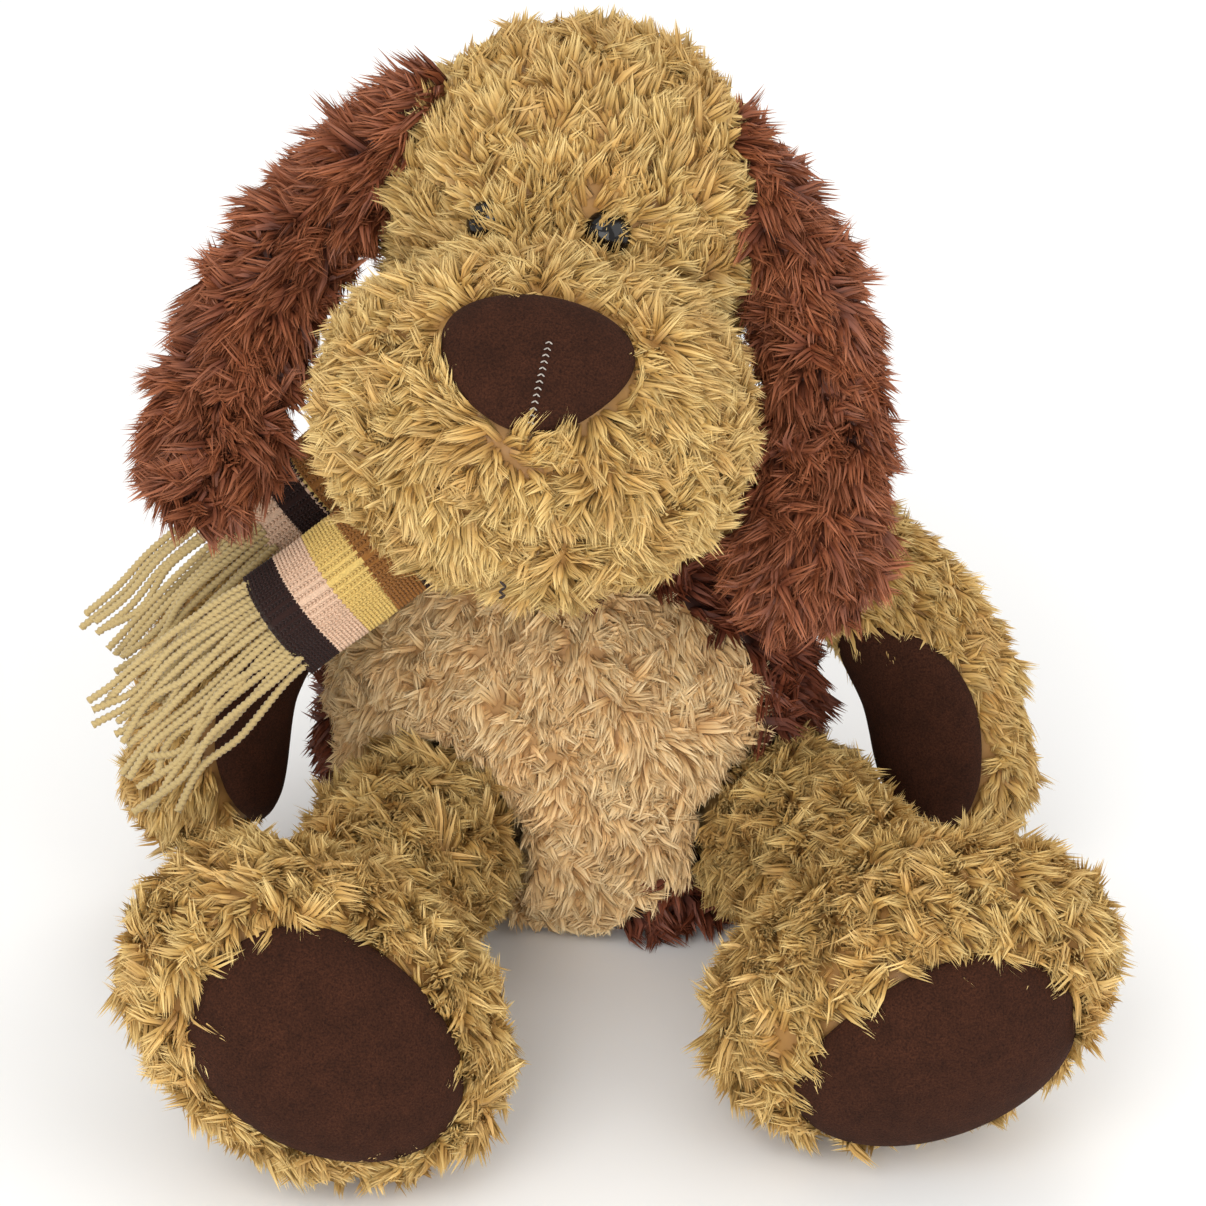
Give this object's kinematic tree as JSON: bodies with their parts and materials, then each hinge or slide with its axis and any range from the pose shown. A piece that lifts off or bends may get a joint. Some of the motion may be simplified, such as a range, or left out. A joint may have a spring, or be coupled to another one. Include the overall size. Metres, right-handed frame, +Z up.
{
  "type": "plush dog",
  "caption": "Sitting plush dog with floppy ears, a big muzzle, felt nose, pads and soles, and a striped knitted scarf with a fringe.",
  "frame": {"origin": "middle of the toy's outline seen from above, on the surface that it sits on", "axes": "+Z up, the toy's face looks along -Y and its own right side is at -X, where the scarf hangs"},
  "size_m": [0.286, 0.2832, 0.2654],
  "materials": {
    "tan_plush": "matte",
    "brown_plush": "matte",
    "ear_plush": "matte",
    "cream_plush": "matte",
    "dark_felt": "matte",
    "fibre_fill": "matte",
    "bead_bag": "matte",
    "gloss_black": "gloss",
    "washer_plastic": "satin",
    "scarf_knit": "matte",
    "fringe_yarn": "matte",
    "seam_thread": "matte"
  },
  "bodies": {
    "torso": {"torso_back_skin": "brown_plush", "belly_panel": "cream_plush", "torso_stuffing": "fibre_fill", "pellet_bag": "bead_bag", "scarf_neck_wrap": "scarf_knit", "scarf_knot": "scarf_knit"},
    "neck": {"neck_skin": "brown_plush", "neck_stuffing": "fibre_fill"},
    "head": {"head_skin": "tan_plush", "muzzle_skin": "tan_plush", "head_stuffing": "fibre_fill", "muzzle_stuffing": "fibre_fill", "eye_left": "gloss_black", "eye_right": "gloss_black", "eye_washer_left": "washer_plastic", "eye_washer_right": "washer_plastic", "nose_patch": "dark_felt", "nose_seam": "seam_thread", "mouth_stitch": "seam_thread"},
    "ear_left": {"ear_left_outer": "ear_plush", "ear_left_lining": "ear_plush"},
    "ear_right": {"ear_right_outer": "ear_plush", "ear_right_lining": "ear_plush"},
    "arm_left": {"arm_left_skin": "tan_plush", "arm_left_stuffing": "fibre_fill", "paw_pad_left": "dark_felt"},
    "arm_right": {"arm_right_skin": "tan_plush", "arm_right_stuffing": "fibre_fill", "paw_pad_right": "dark_felt"},
    "leg_left": {"leg_left_skin": "tan_plush", "leg_left_stuffing": "fibre_fill", "sole_left": "dark_felt"},
    "leg_right": {"leg_right_skin": "tan_plush", "leg_right_stuffing": "fibre_fill", "sole_right": "dark_felt"},
    "tail": {"tail_skin": "brown_plush", "tail_stuffing": "fibre_fill"},
    "scarf_front": {"scarf_tail_front": "scarf_knit", "scarf_fringe_front": "fringe_yarn"},
    "scarf_rear": {"scarf_tail_rear": "scarf_knit", "scarf_fringe_rear": "fringe_yarn"}
  },
  "joints": [
    {"name": "head_turn", "type": "hinge", "parent": "torso", "child": "neck", "pos_m": [-0.00696, 0.05311, 0.14], "axis": [0, 0, 1], "range_deg": [-12, 12]},
    {"name": "head_nod", "type": "hinge", "parent": "neck", "child": "head", "pos_m": [-0.00696, 0.05311, 0.14], "axis": [1, 0, 0], "range_deg": [-15, 4]},
    {"name": "ear_left_swing", "type": "hinge", "parent": "head", "child": "ear_left", "pos_m": [-0.0348, 0.0485, 0.2551], "axis": [0, 1, 0], "range_deg": [0, 50]},
    {"name": "ear_right_swing", "type": "hinge", "parent": "head", "child": "ear_right", "pos_m": [0.0403, 0.0393, 0.2478], "axis": [0, -1, 0], "range_deg": [0, 50]},
    {"name": "arm_left_swing", "type": "hinge", "parent": "torso", "child": "arm_left", "pos_m": [-0.06547, 0.04811, 0.108], "axis": [-1, 0, 0], "range_deg": [-25, 1.5]},
    {"name": "arm_right_swing", "type": "hinge", "parent": "torso", "child": "arm_right", "pos_m": [0.05853, 0.04811, 0.108], "axis": [-1, 0, 0], "range_deg": [-25, 1.5]},
    {"name": "leg_left_lift", "type": "hinge", "parent": "torso", "child": "leg_left", "pos_m": [-0.04347, 0.01711, 0.032], "axis": [-1, 0, 0], "range_deg": [0, 12]},
    {"name": "leg_right_lift", "type": "hinge", "parent": "torso", "child": "leg_right", "pos_m": [0.05853, 0.01811, 0.032], "axis": [-1, 0, 0], "range_deg": [0, 12]},
    {"name": "tail_wag", "type": "hinge", "parent": "torso", "child": "tail", "pos_m": [0.00973, 0.10238, 0.034], "axis": [0, 0, 1], "range_deg": [-15, 15]},
    {"name": "scarf_front_swing", "type": "hinge", "parent": "torso", "child": "scarf_front", "pos_m": [-0.06347, 0.00111, 0.125], "axis": [0, 0, 1], "range_deg": [0, 20]},
    {"name": "scarf_rear_swing", "type": "hinge", "parent": "torso", "child": "scarf_rear", "pos_m": [-0.05647, 0.04311, 0.146], "axis": [0, 0, 1], "range_deg": [-20, 0]}
  ]
}
